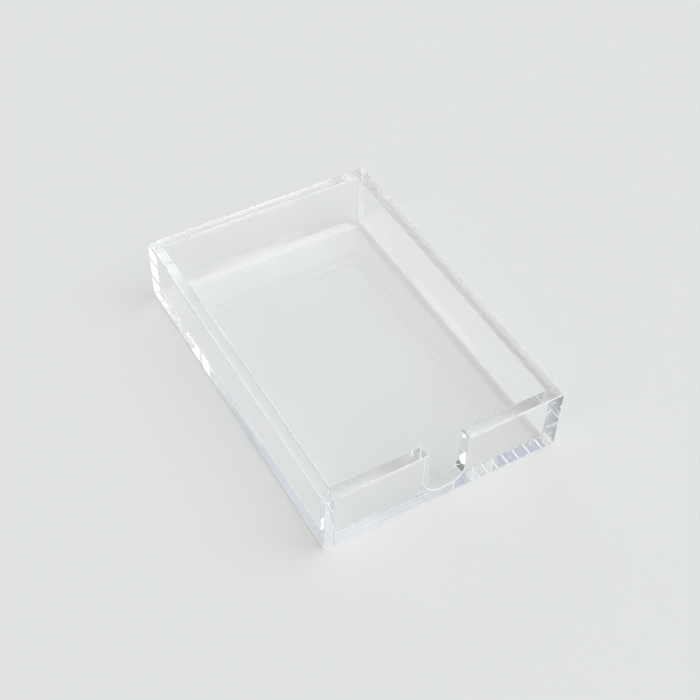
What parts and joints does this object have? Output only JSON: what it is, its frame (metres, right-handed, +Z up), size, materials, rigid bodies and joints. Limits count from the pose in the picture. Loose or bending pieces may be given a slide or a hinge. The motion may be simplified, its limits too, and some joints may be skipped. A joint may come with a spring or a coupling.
{
  "type": "napkin holder",
  "caption": "Open rectangular napkin tray of thick clear acrylic panels with mitred corners, an inset base and a U-shaped finger notch in the front wall.",
  "frame": {"origin": "centre of the flat underside", "axes": "+Z up; -Y faces the notched front; +Y along the length to the back; +X to the right seen from the front"},
  "size_m": [0.156, 0.228, 0.044],
  "materials": {
    "clear_acrylic": "clear cast acrylic sheet, polished faces and flame-polished edges"
  },
  "bodies": {
    "root": {"base_panel": "clear_acrylic", "front_panel": "clear_acrylic", "back_panel": "clear_acrylic", "left_panel": "clear_acrylic", "right_panel": "clear_acrylic"}
  },
  "joints": []
}
